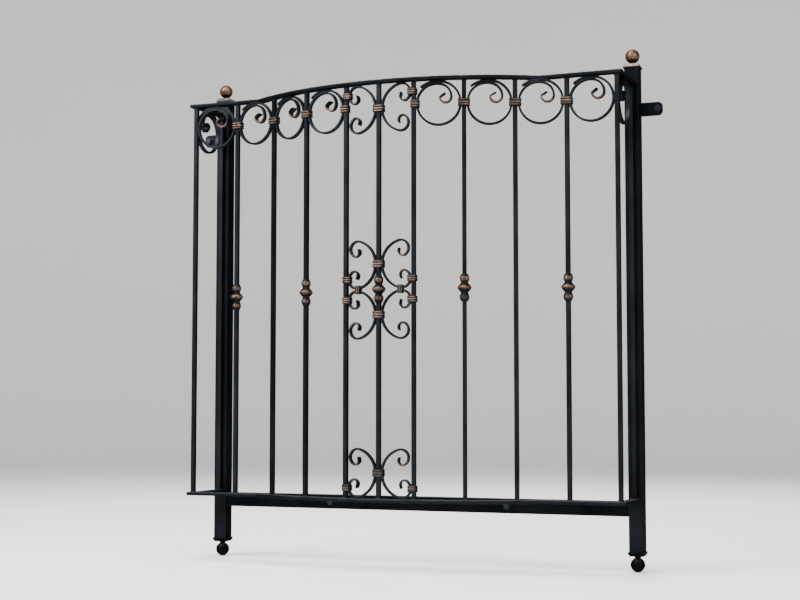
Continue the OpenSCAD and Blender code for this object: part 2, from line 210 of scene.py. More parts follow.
# C-scrolls: bends as radius and degrees, from the back of the C to the tips of its two curls
back_radius_big = 0.0665
small_curl_radius = 0.0255
back_turn = 74
bar_reach = (cos(gap_turn(0)) + sin(gap_turn(0))) * bar_side / 2
spine_out = bar_reach + scroll_thickness / 2 + seat_gap
curl_out = gap_length(0) - spine_out - small_curl_radius
curl_rise = small_curl_radius + scroll_thickness / 2 + seat_gap
back_cos = cos(radians(back_turn))
back_radius_small = (curl_out - spine_out - small_curl_radius * back_cos) / (1 - back_cos)
spine_rise = (back_radius_small - small_curl_radius) * sin(radians(back_turn)) + curl_rise
big_bow = [(back_radius_big, -back_turn), (0.0224, -160), (0.012, -143), (0, 0.006)]
small_bow = [(back_radius_small, back_turn), (small_curl_radius, 160), (0.0115, 142), (0, 0.009)]

# Shapes


def smooth_step(low, high, value):
    t = min(1.0, max(0.0, (value - low) / (high - low)))
    return t * t * (3 - 2 * t)


class Shape:
    """Points and faces of a piece, with the copper rubbed on each point and how worn it is."""

    def __init__(self):
        self.points = []
        self.faces = []
        self.copper = []
        self.worn = []

    def skin(self, rows, ring=False):
        """Joins rows of (point, copper, worn) with faces. Rows that don't form a ring get end caps."""
        first = len(self.points)
        wide = len(rows[0])
        for row in rows:
            for point, copper, worn in row:
                self.points.append(tuple(point))
                self.copper.append(copper)
                self.worn.append(worn)
        count = len(rows) if ring else len(rows) - 1
        for i in range(count):
            here = first + i * wide
            there = first + (i + 1) % len(rows) * wide
            for k in range(wide):
                j = (k + 1) % wide
                self.faces.append((here + k, here + j, there + j, there + k))
        if not ring:
            last = first + (len(rows) - 1) * wide
            self.faces.append(tuple(first + k for k in range(wide)))
            self.faces.append(tuple(last + k for k in reversed(range(wide))))


def corner_arc(x, y, radius, start, steps):
    """Points (x, y, normal x, normal y) over a quarter turn about x, y."""
    arc = []
    for k in range(steps + 1):
        angle = radians(start + 90 * k / steps)
        nx = cos(angle)
        ny = sin(angle)
        arc.append((x + radius * nx, y + radius * ny, nx, ny))
    return arc


def join_corners(arcs, side_points):
    """One outline from its corners in turn, with points along the straight sides between them."""
    outline = []
    for i, arc in enumerate(arcs):
        outline += arc
        x, y = arc[-1][:2]
        next_x, next_y = arcs[(i + 1) % len(arcs)][0][:2]
        side_x = next_x - x
        side_y = next_y - y
        length = hypot(side_x, side_y)
        for k in range(1, side_points + 1):
            t = k / (side_points + 1)
            outline.append((x + side_x * t, y + side_y * t, side_y / length, -side_x / length))
    return outline


def rounded_loop(half_x, half_y, radius, steps=3, side_points=0):
    """Points (x, y, normal x, normal y) round a rectangle with rounded corners."""
    x = half_x - radius
    y = half_y - radius
    centres = ((x, y), (-x, y), (-x, -y), (x, -y))
    arcs = [corner_arc(*centre, radius, 90 * i, steps) for i, centre in enumerate(centres)]
    return join_corners(arcs, side_points)


def make_piece(name, shape, finish_name, slot, replaced=(), sharp_angle=40):
    """Turns a shape into a mesh object that rides with the guard."""
    mesh = bpy.data.meshes.new(name)
    mesh.from_pydata(shape.points, [], shape.faces)
    for key, values in (("copper", shape.copper), ("worn", shape.worn)):
        attribute = mesh.attributes.new(key, "FLOAT", "POINT")
        attribute.data.foreach_set("value", values)
    work = bmesh.new()
    work.from_mesh(mesh)
    bmesh.ops.recalc_face_normals(work, faces=work.faces)
    work.to_mesh(mesh)
    work.free()
    mesh.shade_smooth()
    mesh.set_sharp_from_angle(angle=radians(sharp_angle))
    mesh.materials.append(finish(finish_name))
    piece = bpy.data.objects.new(name, mesh)
    bpy.context.scene.collection.objects.link(piece)
    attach(piece, "root")
    if replaced:
        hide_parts(*replaced)


def walk(start, path, step):
    """Places (x, z, heading, length so far) along bends (radius, degrees) and straights (0, length)."""
    x, z, heading = start
    heading = radians(heading)
    walked = 0.0
    places = [(x, z, heading, walked)]
    for radius, amount in path:
        turn = radians(amount) if radius else 0.0
        length = abs(turn) * radius if radius else amount
        side = copysign(radius, turn)
        count = max(1, ceil(length / step))
        for k in range(1, count + 1):
            share = k / count
            to = heading + turn * share
            if radius:
                to_x = x - side * sin(heading) + side * sin(to)
                to_z = z + side * cos(heading) - side * cos(to)
            else:
                to_x = x + length * share * cos(heading)
                to_z = z + length * share * sin(heading)
            places.append((to_x, to_z, to, walked + length * share))
        x, z, heading = places[-1][:3]
        walked += length
    return places


def reversed_path(path):
    return [(radius, amount if radius == 0 else -amount) for radius, amount in reversed(path)]


def far_end(start, path):
    """Where a path ends, looking back along it, as the start of the same path walked backwards."""
    x, z, heading = walk(start, path, 1)[-1][:3]
    return x, z, degrees(heading) + 180


def dent(point, size):
    """Shallow hammer mark at a point, never above 0."""
    return -abs(noise.noise(point / size))


def forged_section(x, z, walked, tips):
    """Width and thickness of a flat bar at a spot along it, spread and drawn thin towards its tips."""
    width = scroll_width
    thickness = scroll_thickness
    for (tip_x, tip_z, heading, tip_walked), flat, back in tips:
        to_tip = abs(tip_walked - walked)
        if to_tip > flat + tip_reach:
            continue
        middle_x = tip_x + back * flat / 2 * cos(heading)
        middle_z = tip_z + back * flat / 2 * sin(heading)
        off = hypot(x - middle_x, z - middle_z)
        width += (spread_width - scroll_width) * (1 - smooth_step(full_spread, no_spread, off))
        drawn = 1 - smooth_step(flat / 2, flat + drawn_length, to_tip)
        thickness -= (scroll_thickness - tip_thickness) * drawn
    return width, thickness


def bend_bar(shape, place, start, path, copper_at, forge, two_tips=False):
    """Flat bar bent along a path in the across-up plane of a place, thinned and spread at its tip.

    With two tips its start is spread too. copper_at gives the copper from the length left to the
    nearer tip and the side."""
    end_rounding = 0.0012
    end_pinch = 0.2
    mark_size = 0.009
    places = walk(start, path, forge.bend_step)
    whole = places[-1][3]
    tips = [(places[-1], path[-1][1], -1)]
    if two_tips:
        tips.append((places[0], path[0][1], 1))
    rows = []
    for x, z, heading, walked in places:
        to_end = min(walked, whole - walked)
        to_tip = to_end if two_tips else whole - walked
        shrink = 1.0
        if to_end <= end_rounding:
            shrink = 1 - end_pinch + end_pinch * sqrt(to_end / end_rounding)
        width, thickness = forged_section(x, z, walked, tips)
        rounding = min(forge.edge_round, thickness * 0.4)
        row = []
        for a, b, na, nb in rounded_loop(thickness / 2, width / 2, rounding, 3, 3):
            out = a * shrink
            spot = place.point(x - out * sin(heading), b * shrink, z + out * cos(heading))
            mark = dent(spot, mark_size) * forge.hammer_marks
            outward = place.across * (-na * sin(heading)) + place.deep * nb
            outward += place.up * (na * cos(heading))
            edge = 1.0 if abs(na) > 0.3 and abs(nb) > 0.3 else 0.0
            row.append((spot + outward * mark, copper_at(to_tip, na, nb), edge))
        rows.append(row)
    shape.skin(rows)


def circle(count):
    """Directions (x, y) evenly round a circle."""
    angles = [2 * pi * k / count for k in range(count)]
    return [(cos(angle), sin(angle)) for angle in angles]


def turn_profile(shape, place, profile, segments):
    """Round body about a place's up axis, from (radius, height, copper) points."""
    spokes = circle(segments)
    rows = []
    for radius, height, copper in profile:
        rows.append([(place.point(radius * x, radius * y, height), copper, 0.0) for x, y in spokes])
    shape.skin(rows)


def square_profile(shape, place, profile, corner_radius):
    """Square body about a place's up axis, from (half side, height, copper, worn) points."""
    rows = []
    for half, height, copper, worn in profile:
        loop = rounded_loop(half, half, corner_radius, 4, 3)
        rows.append([(place.point(*spot[:2], height), copper, worn) for spot in loop])
    shape.skin(rows)


# Finishes


def rgba(colour):
    return (*colour, 1.0)


def muted(colour, share, shade):
    """A colour moved towards its own grey, or away from it where the share is below 0, and shaded."""
    grey = sum(colour) / 3
    return rgba([max(0.0, c + (grey - c) * share) * shade for c in colour])


class Wiring:
    """A material whose nodes are added and joined one by one."""

    def __init__(self, name):
        self.material = bpy.data.materials.new(name)
        self.material.use_nodes = True
        self.nodes = self.material.node_tree.nodes
        self.links = self.material.node_tree.links
        self.nodes.clear()
        self.spot = self.add("ShaderNodeTexCoord").outputs["Object"]

    def add(self, kind, settings=None, inputs=None):
        node = self.nodes.new(kind)
        for key, value in (settings or {}).items():
            setattr(node, key, value)
        for key, value in (inputs or {}).items():
            if isinstance(value, bpy.types.NodeSocket):
                self.links.new(value, node.inputs[key])
            else:
                node.inputs[key].default_value = value
        return node

    def cloud(self, scale, detail, roughness, stretch=None):
        """Soft noise, from 0 to 1, with about scale spots in a metre. A stretch below 1 draws it out."""
        spot = self.spot
        if stretch:
            spot = self.add("ShaderNodeMapping", inputs={"Vector": spot, "Scale": stretch}).outputs[0]
        inputs = {"Vector": spot, "Scale": scale, "Detail": detail, "Roughness": roughness}
        return self.add("ShaderNodeTexNoise", inputs=inputs).outputs[0]

    def cells(self, scale, smoothness):
        inputs = {"Vector": self.spot, "Scale": scale, "Smoothness": smoothness}
        return self.add("ShaderNodeTexVoronoi", {"feature": "SMOOTH_F1"}, inputs).outputs[0]

    def times(self, a, b):
        return self.add("ShaderNodeMath", {"operation": "MULTIPLY"}, {0: a, 1: b}).outputs[0]

    def plus(self, a, b):
        return self.add("ShaderNodeMath", {"operation": "ADD"}, {0: a, 1: b}).outputs[0]

    def ramp(self, value, low, high, to_low=0.0, to_high=1.0):
        settings = {"interpolation_type": "SMOOTHSTEP"}
        inputs = {"Value": value, "From Min": low, "From Max": high, "To Min": to_low, "To Max": to_high}
        return self.add("ShaderNodeMapRange", settings, inputs).outputs[0]

    def blend(self, share, a, b):
        return self.add("ShaderNodeMix", {"data_type": "RGBA"}, {0: share, 6: a, 7: b}).outputs[2]

    def between(self, share, a, b):
        return self.add("ShaderNodeMix", {"data_type": "FLOAT"}, {0: share, 2: a, 3: b}).outputs[0]

    def painted(self, key):
        """A value that the mesh carries at each point."""
        return self.add("ShaderNodeAttribute", {"attribute_name": key}).outputs["Fac"]

    def facing_up(self):
        normal = self.add("ShaderNodeNewGeometry").outputs["Normal"]
        return self.add("ShaderNodeSeparateXYZ", inputs={0: normal}).outputs["Z"]

    def relief(self, height, strength, distance, below=None):
        inputs = {"Height": height, "Strength": strength, "Distance": distance}
        if below:
            inputs["Normal"] = below
        return self.add("ShaderNodeBump", inputs=inputs).outputs[0]

    def uneven_black(self, paint, tone):
        """The paint's black, deeper in some patches and paler in others."""
        deep = rgba([c * tone * 0.7 for c in paint.black])
        pale = rgba([c * tone * 1.3 for c in paint.black])
        return self.blend(self.ramp(self.cloud(9.0, 4.0, 0.6), 0.3, 0.7), deep, pale)

    def uneven_sheen(self, smoothest, roughest):
        return self.ramp(self.cloud(38.0, 4.0, 0.65), 0.25, 0.75, smoothest, roughest)

    def surface(self, **inputs):
        named = {key.replace("_", " "): value for key, value in inputs.items()}
        shader = self.add("ShaderNodeBsdfPrincipled", inputs=named)
        self.add("ShaderNodeOutputMaterial", inputs={"Surface": shader.outputs[0]})
        return self.material

    def dark_metal(self, paint, colour, metal, rough, relief):
        """A dark metal whose gleam hardly grows at a slant, so that undersides stay black."""
        return self.surface(
            Base_Color=colour,
            Metallic=metal,
            Roughness=rough,
            Specular_IOR_Level=0.05,
            Specular_Tint=rgba(paint.slant),
            Normal=relief,
        )


def black_paint(name, paint, tone, gloss=0.0, marks=0.0):
    """Satin black paint on iron: uneven tone, orange peel, dust on ledges that is also a painted sky
    reflection, and thin edges.
    """
    w = Wiring(name)
    colour = w.uneven_black(paint, tone)
    thin_spots = w.ramp(w.cloud(70.0, 3.0, 0.6), 0.42, 0.7)
    worn = w.times(w.times(w.painted("worn"), thin_spots), paint.edge_wear)
    colour = w.blend(worn, colour, rgba(paint.bare_edge))
    # pale bluish dust on upward faces: real dust, and also a painted reflection of the sky on those faces
    dust_and_sky_sheen_patches = w.ramp(w.cloud(45.0, 6.0, 0.7), 0.25, 0.75, 0.45, 1.0)
    dust_and_sky_sheen = w.times(w.ramp(w.facing_up(), 0.35, 0.95), dust_and_sky_sheen_patches)
    dust_and_sky_sheen = w.times(dust_and_sky_sheen, paint.dust_and_sky_sheen_amount)
    colour = w.blend(dust_and_sky_sheen, colour, rgba(paint.dust_and_sky_sheen))
    rough = w.between(dust_and_sky_sheen, w.uneven_sheen(0.42 - gloss, 0.56 - gloss), 0.85)
    peel = w.relief(w.cloud(1100.0, 2.0, 0.5), 0.12, 0.0002)
    if marks:
        peel = w.relief(w.cells(95.0, 0.6), marks, 0.0006, peel)
    return w.dark_metal(paint, colour, w.between(dust_and_sky_sheen, paint.gleam, 0.0), rough, peel)


def rubbed_copper(name, paint, tone, grey, shade):
    """Copper paste rubbed over satin black: full on the high spots, broken into strokes at its edges."""
    w = Wiring(name)
    strokes = w.cloud(150.0, 4.0, 0.6, (0.8, 0.8, 1.5))
    grain = w.cloud(900.0, 3.0, 0.6)
    patches = w.cloud(70.0, 3.0, 0.6)
    broken = w.plus(w.times(strokes, 0.35), w.times(grain, 0.25))
    broken = w.plus(broken, w.times(patches, 0.4))
    cover = w.plus(w.painted("copper"), w.times(w.plus(broken, -0.5), 2.2))
    share = w.ramp(cover, 0.3, 0.8)
    warm_patches = w.ramp(w.cloud(55.0, 4.0, 0.6), 0.3, 0.7)
    warm = w.blend(warm_patches, muted(paint.copper_deep, grey, shade), muted(paint.copper, grey, shade))
    bright = w.times(w.ramp(cover, 0.75, 1.35), w.ramp(w.cloud(240.0, 3.0, 0.6), 0.4, 0.75))
    warm = w.blend(bright, warm, muted(paint.copper_light, grey, shade))
    colour = w.blend(share, w.uneven_black(paint, tone), warm)
    rough = w.between(share, w.uneven_sheen(0.36, 0.5), 0.42)
    relief = w.relief(strokes, 0.15, 0.0003, w.relief(grain, 0.12, 0.0002))
    return w.dark_metal(paint, colour, w.between(share, paint.gleam, 0.85), rough, relief)


def plain_wall(name, colour):
    w = Wiring(name)
    light = rgba([min(1.0, c * 1.03) for c in colour])
    tone = w.blend(w.cloud(0.8, 3.0, 0.5), rgba(colour), light)
    return w.surface(Base_Color=tone, Roughness=0.85)


# how each finish differs from the plain paint or the plain copper
finish_kinds = {
    "tube_paint": (black_paint, {"tone": 0.8, "gloss": 0.04}),
    # the cross tube has half the posts' tone: painted shade, for the shadow of the bottom rail above it
    "cross_paint_shaded": (black_paint, {"tone": 0.4, "gloss": 0.04}),
    "bar_paint": (black_paint, {"tone": 1.15, "gloss": 0.02, "marks": 0.12}),
    "lug_paint": (black_paint, {"tone": 0.75, "marks": 0.4}),
    "rail_paint": (black_paint, {"tone": 0.9, "marks": 0.3}),
    # the feet have half the posts' tone: painted shade under the guard
    "foot_paint_shaded": (black_paint, {"tone": 0.4, "gloss": 0.08}),
    "weld_paint": (black_paint, {"tone": 1.0, "marks": 0.4}),
    # bolts have a paler black than the lugs: a painted highlight so that the heads stand out
    "bolt_paint_highlit": (black_paint, {"tone": 2.0, "gloss": 0.08}),
    "ball_rub": (rubbed_copper, {"tone": 0.8, "grey": -0.35, "shade": 0.6}),
    "bush_rub": (rubbed_copper, {"tone": 0.9, "grey": 0.0, "shade": 0.58}),
    "cap_rub": (rubbed_copper, {"tone": 2.4, "grey": 0.1, "shade": 0.72}),
    "scroll_rub": (rubbed_copper, {"tone": 1.45, "grey": 0.05, "shade": 0.95}),
    "collar_rub": (rubbed_copper, {"tone": 1.2, "grey": 0.0, "shade": 0.74}),
}
finishes = {}


def finish(name):
    """The named finish, made once from the paint settings."""
    if name not in finishes:
        make, amounts = finish_kinds[name]
        finishes[name] = make(name, bpy.context.scene.guard_paint, **amounts)
    return finishes[name]


# Pieces


def soften_edges(node, width, finish_name):
    """Gives a kept CAD part its finish and softened edges, without touching its mesh."""
    part = frame["nodes"][node]
    part.data.materials.clear()
    part.data.materials.append(finish(finish_name))
    weld = part.modifiers.new("join_corners", "WELD")
    weld.merge_threshold = 0.00001
    whole = part.modifiers.new("whole_faces", "DECIMATE")
    whole.decimate_type = "DISSOLVE"
    whole.angle_limit = radians(0.5)
    bevel = part.modifiers.new("soft_edges", "BEVEL")
    bevel.width = width
    bevel.segments = 3
    bevel.limit_method = "ANGLE"
    bevel.angle_limit = radians(40)
    flats = part.modifiers.new("flat_faces", "WEIGHTED_NORMAL")
    flats.weight = 100
    flats.keep_sharp = False


def front_path(step):
    """Places (x, y, heading, stretch) along the middle of a front rail, from left to right."""
    end_x = bar_place[5].x + rail_width / 2
    straight_y = bar_place[5].y
    kink_x = bow_radius * sin(bow_end)
    margin = 0.001
    clear = rail_width / 2 * tan(bow_end / 2) + margin
    straight = end_x - kink_x - clear
    count = round(straight / step)
    left = [(-end_x + straight * k / count, straight_y, 0.0, 1.0) for k in range(count + 1)]
    left.append((-kink_x, straight_y, -bow_end / 2, 1 / cos(bow_end / 2)))
    reach = bow_end - clear / bow_radius
    count = round(2 * reach * bow_radius / step)
    bow = []
    for k in range(count + 1):
        angle = -reach + 2 * reach * k / count
        bow.append((bow_radius * sin(angle), bow_centre_y - bow_radius * cos(angle), angle, 1.0))
    right = [(-x, y, -heading, stretch) for x, y, heading, stretch in reversed(left)]
    return left + bow + right


def return_path(node, step):
    """The same along the middle of a rail return, from the front to its post."""
    low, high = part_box(node)
    length = high.y - low.y
    count = round(length / step)
    x = (low.x + high.x) / 2
    return [(x, low.y + length * k / count, pi / 2, 1.0) for k in range(count + 1)]


class Scoops:
    """Rows of hammer scoops along the four long corners of a rail, each row out of step with the next."""

    def __init__(self, forge, seed):
        most = 200
        corners = range(4)
        draw = random.Random(seed)
        self.forge = forge
        self.phases = [draw.random() for corner in corners]
        self.wander = [[draw.uniform(-0.12, 0.12) for k in range(most)] for corner in corners]
        self.depths = [[draw.uniform(0.6, 1.0) for k in range(most)] for corner in corners]

    def depth(self, corner, walked):
        """Depth of a corner's scoop at a distance along the rail."""
        half_length = 0.62
        beat = walked / self.forge.hammer_pitch + self.phases[corner]
        index = int(beat)
        off = beat - index - 0.5 - self.wander[corner][index]
        arch = sqrt(max(0.0, 1 - (off / half_length) ** 2))
        return arch * self.depths[corner][index] * self.forge.hammer_depth


def hammer_rail(node, places, forge):
    """Flat bar laid along places, its four long corners beaten into rows of slanting scoops."""
    scoop_from = 0.0085
    scoop_full = 0.0145
    slant = 1.3
    lift_share = 0.4
    dent_size = 0.012
    dent_depth = 0.00018
    z = middle(node).z
    scoops = Scoops(forge, node)
    section = with_flats(rounded_loop(rail_width / 2, rail_thickness / 2, 0.0012))
    rows = []
    walked = 0.0
    before = Vector(places[0][:2])
    for x, y, heading, stretch in places:
        walked += (Vector((x, y)) - before).length
        before = Vector((x, y))
        row = []
        for a, b, nb in section:
            scoop = scoops.depth((0 if a > 0 else 1) + (0 if b > 0 else 2), walked)
            near_edge = smooth_step(scoop_from, scoop_full, abs(a))
            rise = abs(b) / (rail_thickness / 2)
            side = (a - copysign(scoop * near_edge * rise**slant, a)) * stretch
            lift = b - copysign(scoop * near_edge * rise * lift_share, b)
            spot = Vector((x - side * sin(heading), y + side * cos(heading), z + lift))
            if abs(nb) > 0.5:
                spot.z += copysign(dent(spot, dent_size) * dent_depth, -b)
            row.append((spot, 0.0, near_edge * smooth_step(0.4, 0.8, rise)))
        rows.append(row)
    shape = Shape()
    shape.skin(rows)
    return shape


def with_flats(section):
    """Outline (across, up, normal up) of a rail with more points on its broad faces and its edges."""
    full = []
    for i, spot in enumerate(section):
        a, b = spot[:2]
        full.append((a, b, spot[3]))
        next_a, next_b = section[(i + 1) % len(section)][:2]
        if abs(next_a - a) > rail_thickness:
            for share in (0.07, 0.16, 0.5, 0.84, 0.93):
                full.append((a + (next_a - a) * share, b, copysign(1, b)))
        elif abs(next_b - b) > rail_thickness / 2:
            for share in (0.2, 0.42, 0.58, 0.8):
                full.append((a, b + (next_b - b) * share, 0.0))
    return full


def ring_path(draw):
    """Start and bends of a ring: its tail laps over its top, and it curls in to an eye with a spread tip.

    No two eyes are bent quite alike."""
    radius = (ring_diameter - scroll_thickness) / 2
    shift = scroll_thickness + layer_gap
    tail_radius = 1.15 * radius
    tail_turn = 40
    tail_x = -shift - tail_radius * sin(radians(tail_turn))
    tail_z = radius - tail_radius * (1 - cos(radians(tail_turn)))
    path = [
        (tail_radius, -tail_turn),
        (0, shift),
        (radius, -270),
        (radius - shift, -108),
        (0.036 * draw.uniform(0.97, 1.03), -72),
        (0.017 * draw.uniform(0.94, 1.06), -164 + draw.uniform(-6, 6)),
        (0.005, -74),
        (0, 0.016),
    ]
    return (tail_x, tail_z, tail_turn), path


def c_path():
    """Start and bends of the C-scroll on the right of the middle bar, its small curl down at 0."""
    start = far_end((spine_out, spine_rise, -90), small_bow)
    return start, reversed_path(small_bow) + big_bow


def ring_copper(to_tip, na, nb):
    """Copper on a ring: a thin rub along the front of its eye, and on the inside of the eye."""
    eye = smooth_step(0.002, 0.012, to_tip) * (1 - smooth_step(0.05, 0.085, to_tip))
    front = smooth_step(0.3, 0.9, -nb)
    inside = smooth_step(0.3, 0.9, -na)
    return 0.95 * eye * front + 0.55 * eye * inside - 0.3


def side_ring_copper(to_tip, na, nb):
    """The same on a ring that stands across the guard, where little was rubbed on."""
    return ring_copper(to_tip, na, nb) - 0.35


def c_copper(to_tip, na, nb):
    """Copper on a C-scroll: a thin rub along the fronts of its two curls."""
    curl = smooth_step(0.0, 0.01, to_tip) * (1 - smooth_step(0.04, 0.08, to_tip))
    front = smooth_step(0.3, 0.9, -nb)
    return 0.8 * curl * front - 0.3


def collar_outline(height):
    """Outline (height, outset, copper) of a collar: three rounded ribs with grooves between them."""
    copper_fall = 1.9
    pitch = (height + rib_gap) / 3
    half = (pitch - rib_gap) / 2
    arc = radians(rib_arc)
    outline = []
    for rib, crest_copper in ((-1, 0.9), (0, 1.15), (1, 0.9)):
        for k in range(-4, 5):
            angle = arc * k / 4
            fall = (1 - cos(angle)) / (1 - cos(arc))
            outline.append((
                rib * pitch + half * sin(angle) / sin(arc),
                collar_thickness - groove_depth * fall,
                crest_copper - copper_fall * fall,
            ))
        if rib < 1:
            outline.append(((rib + 0.5) * pitch, collar_thickness - groove_depth * 1.25, -0.6))
    return outline


def wrap_collar(shape, place, half_across, half_deep, height, draw, rub_and_shade_share=1.0):
    """Band wrapped round what a place's up axis runs along, with its butt joint at the back."""
    joint_half = 0.0016
    joint_depth = 0.0009
    beat_size = 0.006
    beat_depth = 0.00022
    inner_end = height / 2 - 0.0002
    hole = rounded_loop(half_across, half_deep, 0.0003, 4, 6)
    base = rounded_loop(half_across + 0.0002, half_deep + collar_room, 0.0010, 4, 6)
    outline = collar_outline(height)
    joint_at = draw.uniform(-0.3, 0.3) * half_across
    # the share sets how much copper is rubbed on; below 1, on the bottom collars, it is painted shade
    rubbed = rub_and_shade_share * draw.uniform(0.94, 1.1)
    rows = []
    for inner, (x, y, nx, ny) in zip(hole, base):
        at_joint = 1 - smooth_step(0.0, joint_half, abs(x - joint_at)) if ny > 0.9 else 0.0
        at_corner = smooth_step(half_across - 0.0035, half_across + 0.0005, abs(x))
        beat = beat_depth * noise.noise(place.point(x, y, 0) / beat_size)
        row = []
        for h, outset, copper in outline:
            out = outset + beat - joint_depth * at_joint
            rub = copper * rubbed - 0.6 * at_joint - 0.45 * at_corner
            row.append((place.point(x + nx * out, y + ny * out, h), rub, 0.0))
        row.append((place.point(*inner[:2], inner_end), -0.5, 0.0))
        row.append((place.point(*inner[:2], -inner_end), -0.5, 0.0))
        rows.append(row)
    shape.skin(rows, ring=True)


def bend_reach(to_middle, radius, height):
    """From a bar's middle to the far side of a bend beside it, at the ends of a collar."""
    return to_middle - sqrt((radius - scroll_thickness / 2) ** 2 - height ** 2 / 4)


def bar_collar(shape, n, z, height, turn, left, right, draw, rub_and_shade_share=1.0):
    """Collar round bar n and what lies beside it, which reaches this far left and right of its middle."""
    place = at_bar(n, z, turn)
    place.origin = place.point((right - left) / 2, 0, 0)
    wrap_collar(shape, place, (left + right) / 2, bar_side / 2 + collar_play, height, draw, rub_and_shade_share)


def ring_collars(bars, seed):
    """Collars that tie the rings to bars."""
    shape = Shape()
    draw = random.Random(seed)
    radius = (ring_diameter - scroll_thickness) / 2
    for n in bars:
        gaps = [gap for gap in (n - 1, n) if gap in ring_gaps_left + ring_gaps_right]
        reach = {gap: bend_reach(gap_length(gap) / 2, radius, collar_height) for gap in gaps}
        left = reach.get(n - 1, bar_side / 2)
        right = reach.get(n, bar_side / 2)
        turn = sum(gap_turn(gap) for gap in gaps) / len(gaps)
        bar_collar(shape, n, ring_z, collar_height, turn, left, right, draw)
    return shape


def back_collar(shape, z, draw, rub_and_shade_share):
    """Collar that ties the backs of two C-scrolls to the middle bar."""
    out = bend_reach(spine_out + back_radius_big, back_radius_big, collar_height)
    bar_collar(shape, 0, z, collar_height, 0.0, out, out, draw, rub_and_shade_share)


def curl_collars(shape, z, draw, rub_and_shade_share):
    """Collars that tie the small curls of two C-scrolls to the bars on both sides."""
    out = bend_reach(gap_length(0) - curl_out, small_curl_radius, curl_collar_height)
    bar_collar(shape, 1, z, curl_collar_height, gap_turn(0), out, bar_side / 2, draw, rub_and_shade_share)
    bar_collar(shape, -1, z, curl_collar_height, gap_turn(-1), bar_side / 2, out, draw, rub_and_shade_share)


def stack_collars(shape, draw):
    """Collars that tie an upper C-scroll to the lower one under it, on both sides."""
    far = stack_tie_off + stack_collar_height / 2
    half = curl_rise - sqrt((small_curl_radius - scroll_thickness / 2) ** 2 - far**2)
    spot = at_gap(0, curl_out - stack_tie_off, mid_z)
    lying = Place(spot.origin, spot.up, spot.deep, spot.across)
    for place in (lying, lying.mirrored()):
        wrap_collar(shape, place, half, scroll_width / 2 + collar_play, stack_collar_height, draw, 1.3)


def bead(radius, rise, half_height, roundness, lowest):
    """Points (radius, height, copper) of a bead that swells out of its neck, rubbed round its rim.

    It starts at its middle if its lowest angle is 0, and at its foot if that is -90."""
    step = 9
    points = []
    for angle in range(lowest, 90 + step, step):
        t = sin(radians(angle))
        swell = 1 - abs(t) ** roundness
        out = bush_neck_radius + (radius - bush_neck_radius) * swell
        copper = 1.25 * smooth_step(0.2, 1.0, swell) - 0.25
        points.append((out, rise + half_height * t, copper))
    return points


def cast_bush(shape, place):
    """Cast bush about a place's up axis: a large bead between two small ones, with less copper below as
    painted shade.
    """
    end = bush_length / 2
    tip = [
        (bush_neck_radius, end - 0.0007, -0.4),
        (bush_neck_radius - 0.0006, end, -0.4),
        (bar_side / 2 - 0.0002, end, -0.4),
    ]
    big = bead(bead_radius, 0.0, bead_half, 1.5, 0)
    small = bead(small_bead_radius, small_bead_rise, small_bead_half, 1.6, -90)
    above = big + small + tip
    # less copper on the lower half is painted shade, as if lit from above
    below = [(radius, -height, copper - 0.3) for radius, height, copper in reversed(above[1:])]
    turn_profile(shape, place, below + above, 56)


def finial_ball(shape, place, diameter, copper):
    """Ball that sits on a place with a small flat; copper, if any, is rubbed on all but its foot."""
    radius = diameter / 2
    sunk = 0.0008
    centre = radius - sunk
    start = acos(centre / radius)
    end = pi - 0.03
    count = 34
    profile = [(0.0015, 0.0, -0.4)]
    for k in range(count + 1):
        angle = start + (end - start) * k / count
        rise = -cos(angle)
        rub = copper * 1.35 * smooth_step(-1.0, -0.3, rise) - 0.4
        profile.append((radius * sin(angle), centre + radius * rise, rub))
    turn_profile(shape, place, profile, 56)


def sloped_cap(shape, place, half, height, copper):
    """Square cap that stands on a place, with sloped sides over a band and a short neck for the ball."""
    bare = -0.4
    rubbed = copper * 1.5 + bare
    top = half - cap_slope
    profile = [
        (half - 0.0012, 0.0, -0.5, 0.0),
        (half - 0.0003, 0.0002, -0.5, 0.2),
        (half, 0.0008, bare, 0.5),
        (half, cap_band * 0.8, -0.2, 0.3),
        (half - 0.0002, cap_band, copper * 0.9 + bare, 0.2),
        (half - 0.0007, cap_band + 0.0006, rubbed, 0.0),
        (top + 0.0005, height - 0.0008, rubbed, 0.0),
        (top - 0.0002, height - 0.0001, rubbed, 0.2),
        (top - 0.0012, height, copper * 1.2 + bare, 0.0),
        (top * 0.62, height, copper * 0.6 + bare, 0.0),
        (top * 0.3, height, bare, 0.0),
    ]
    square_profile(shape, place, profile, 0.0012)
    # the neck, with a fillet at its foot
    outline = [(-0.004, -0.0004), (0.0016, -0.0004), (0.0013, 0.0004), (0.0003, 0.0012), (0.0, 0.0020)]
    outline += [(0.0, neck_height - 0.0003), (-0.0003, neck_height), (-neck_radius / 2, neck_height)]
    turn_profile(shape, place, [(neck_radius + out, height + rise, bare) for out, rise in outline], 40)


